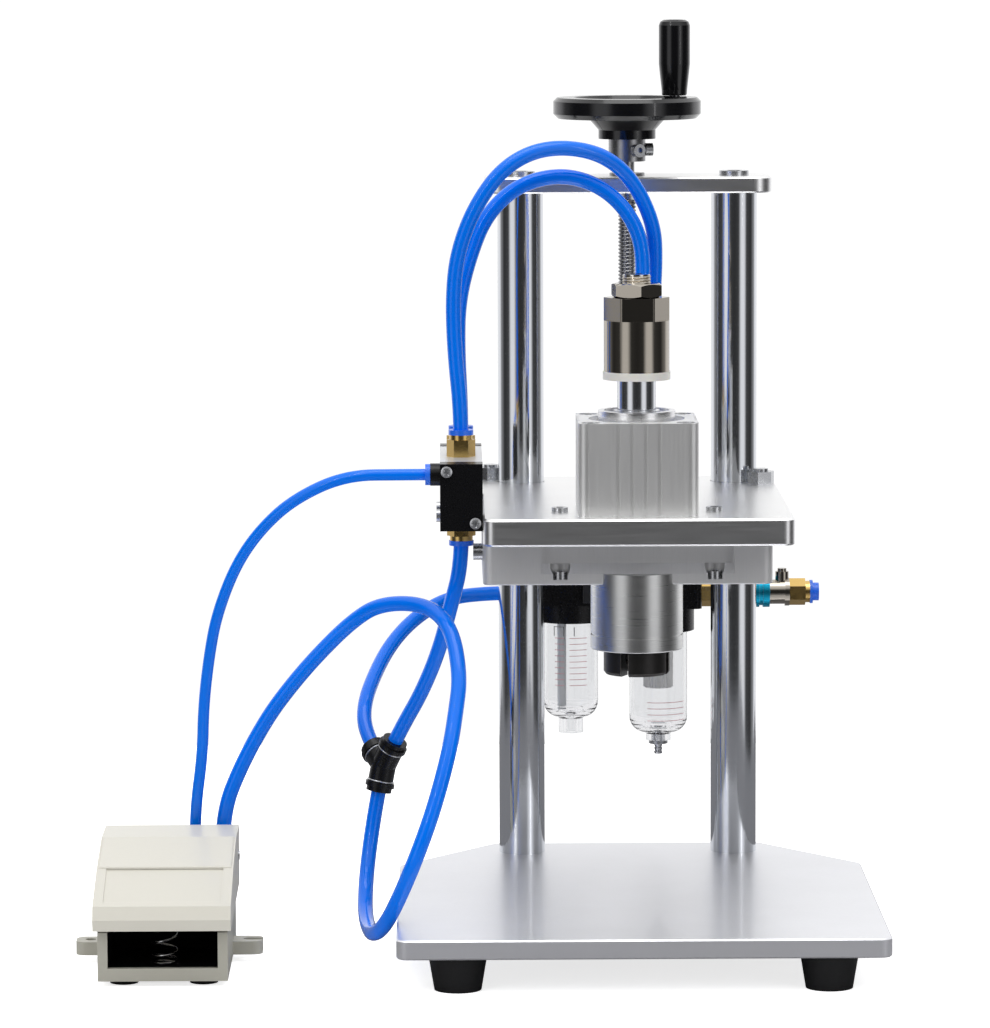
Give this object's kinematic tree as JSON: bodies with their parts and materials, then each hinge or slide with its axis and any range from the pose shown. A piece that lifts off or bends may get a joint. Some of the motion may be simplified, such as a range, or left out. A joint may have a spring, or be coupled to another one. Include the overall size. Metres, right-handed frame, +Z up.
{
  "type": "pneumatic bottle crimping machine",
  "caption": "Benchtop pneumatic bottle-crimping press: base with chrome columns, handwheel-set carriage, air cylinder and collet head, air preparation unit and foot pedal.",
  "frame": {"origin": "on the bench, under the middle of the box that holds the stand and its pedal (free air tubes left out)", "axes": "+Z up; the operator stands on the -Y side; the pedal lies on the -X side"},
  "size_m": [0.4172, 0.324, 0.4826],
  "materials": {
    "base_paint": "satin light grey powder coat",
    "rubber_black": "matte",
    "screw_steel": "zinc plated",
    "column_chrome": "polished hard chrome",
    "plate_aluminium": "satin anodised",
    "bronze": "machined",
    "screw_shaft": "machined",
    "wheel_black": "glossy",
    "nickel": "nickel plated",
    "gland_alloy": "machined",
    "nylon_white": "natural nylon",
    "black_plastic": "satin",
    "brass_gold": "polished",
    "ring_blue": "glossy",
    "slider_cyan": "anodised",
    "clear_bowl": "clear polycarbonate",
    "bracket_steel": "satin black",
    "pedal_ivory": "satin powder coat",
    "pedal_dark": "satin",
    "spool_alloy": "machined",
    "jaw_black": "black oxide",
    "tube_blue": "polyurethane, glossy"
  },
  "bodies": {
    "stand": {"base_plate": "base_paint", "base_feet": "rubber_black", "stand_screws": "screw_steel", "columns": "column_chrome", "top_plate": "plate_aluminium", "screw_bearing": "bronze", "pedal_base": "pedal_ivory", "pedal_feet": "rubber_black", "pedal_pin": "screw_steel", "pedal_spring": "screw_steel", "pedal_valve": "pedal_dark", "pedal_fittings": "black_plastic", "tube_pilot": "tube_blue", "tube_pedal": "tube_blue"},
    "handwheel": {"handwheel": "wheel_black", "handwheel_collar": "screw_shaft", "wheel_hardware": "screw_steel", "lead_screw": "screw_shaft"},
    "crank": {"crank_handle": "wheel_black"},
    "carriage": {"carriage_plate": "plate_aluminium", "head_block": "plate_aluminium", "column_bushes": "screw_shaft", "feed_nut": "bronze", "clamp_studs": "screw_steel", "carriage_screws": "screw_steel", "cylinder_body": "plate_aluminium", "cylinder_gland": "gland_alloy", "crimp_sleeve": "nickel", "valve_body": "plate_aluminium", "valve_end_caps": "black_plastic", "brass_fittings": "brass_gold", "elbow_fittings": "black_plastic", "release_rings": "ring_blue", "slide_valve_body": "nickel", "filter_regulator": "black_plastic", "lubricator": "black_plastic", "bowl_collars": "black_plastic", "clear_bowls": "clear_bowl", "unit_bracket": "bracket_steel", "branch_connector": "black_plastic", "tube_front": "tube_blue", "tube_rear": "tube_blue", "tube_valve": "tube_blue", "tube_unit": "tube_blue"},
    "rod": {"piston_rod": "nickel", "piston": "nickel", "bumper_washer": "nylon_white", "adjuster_sleeve": "nickel", "lock_nut": "nickel"},
    "spool": {"valve_spool": "spool_alloy"},
    "slide_ring": {"slide_valve_ring": "slider_cyan"},
    "regulator": {"regulator_knob": "black_plastic"},
    "needle": {"needle_screw": "screw_steel"},
    "drain": {"drain_valve": "screw_steel"},
    "treadle": {"treadle": "pedal_ivory"},
    "plunger": {"pedal_plunger": "black_plastic"},
    "jaw_1_body": {"jaw_1": "jaw_black"},
    "jaw_2_body": {"jaw_2": "jaw_black"},
    "jaw_3_body": {"jaw_3": "jaw_black"},
    "jaw_4_body": {"jaw_4": "jaw_black"}
  },
  "joints": [
    {"name": "handwheel_spin", "type": "hinge", "parent": "stand", "child": "handwheel", "pos_m": [0.0836, 0.095, 0.419], "axis": [0, 0, 1], "range_deg": [-6302, 16202]},
    {"name": "crank_handle_spin", "type": "hinge", "parent": "handwheel", "child": "crank", "pos_m": [0.1101, 0.1145, 0.4413], "axis": [0, 0, 1], "continuous": true},
    {"name": "carriage_slide", "type": "slide", "parent": "stand", "child": "carriage", "axis": [0, 0, 1], "range_m": [-0.035, 0.09], "deforming": ["tube_pilot", "tube_pedal"]},
    {"name": "rod_slide", "type": "slide", "parent": "carriage", "child": "rod", "axis": [0, 0, -1], "range_m": [0, 0.016]},
    {"name": "spool_slide", "type": "slide", "parent": "carriage", "child": "spool", "axis": [0, 1, 0], "range_m": [-0.004, 0.004]},
    {"name": "slide_valve_slide", "type": "slide", "parent": "carriage", "child": "slide_ring", "axis": [1, 0, 0], "range_m": [-0.0045, 0.0029]},
    {"name": "regulator_turn", "type": "hinge", "parent": "carriage", "child": "regulator", "pos_m": [0.1023, 0.142, 0.182], "axis": [0, 0, 1], "range_deg": [-720, 720]},
    {"name": "needle_turn", "type": "hinge", "parent": "carriage", "child": "needle", "pos_m": [0.0536, 0.142, 0.182], "axis": [0, 0, 1], "range_deg": [-180, 180]},
    {"name": "drain_turn", "type": "hinge", "parent": "carriage", "child": "drain", "pos_m": [0.1023, 0.142, 0.0824], "axis": [0, 0, 1], "range_deg": [-90, 90]},
    {"name": "treadle_hinge", "type": "hinge", "parent": "stand", "child": "treadle", "pos_m": [-0.1601, -0.037, 0.05], "axis": [1, 0, 0], "range_deg": [0, 7], "stiffness_Nm_per_rad": 6, "springref_deg": -14.32, "deforming": ["pedal_spring"]},
    {"name": "plunger_slide", "type": "slide", "parent": "stand", "child": "plunger", "axis": [0, 0, -1], "range_m": [0, 0.00246]},
    {"name": "jaw_1_close", "type": "slide", "parent": "carriage", "child": "jaw_1_body", "axis": [-0.3584, 0.9336, 0], "range_m": [0, 0.00121]},
    {"name": "jaw_2_close", "type": "slide", "parent": "carriage", "child": "jaw_2_body", "axis": [-0.9336, -0.3584, 0], "range_m": [0, 0.00121]},
    {"name": "jaw_3_close", "type": "slide", "parent": "carriage", "child": "jaw_3_body", "axis": [0.3584, -0.9336, 0], "range_m": [0, 0.00121]},
    {"name": "jaw_4_close", "type": "slide", "parent": "carriage", "child": "jaw_4_body", "axis": [0.9336, 0.3584, 0], "range_m": [0, 0.00121]}
  ],
  "couplings": [
    {"joint": "handwheel_spin", "follows": "carriage_slide", "rad_per_m": 3141.6},
    {"joint": "plunger_slide", "follows": "treadle_hinge", "m_per_rad": 0.02},
    {"joint": "jaw_1_close", "follows": "rod_slide", "ratio": 0.075},
    {"joint": "jaw_2_close", "follows": "rod_slide", "ratio": 0.075},
    {"joint": "jaw_3_close", "follows": "rod_slide", "ratio": 0.075},
    {"joint": "jaw_4_close", "follows": "rod_slide", "ratio": 0.075}
  ]
}
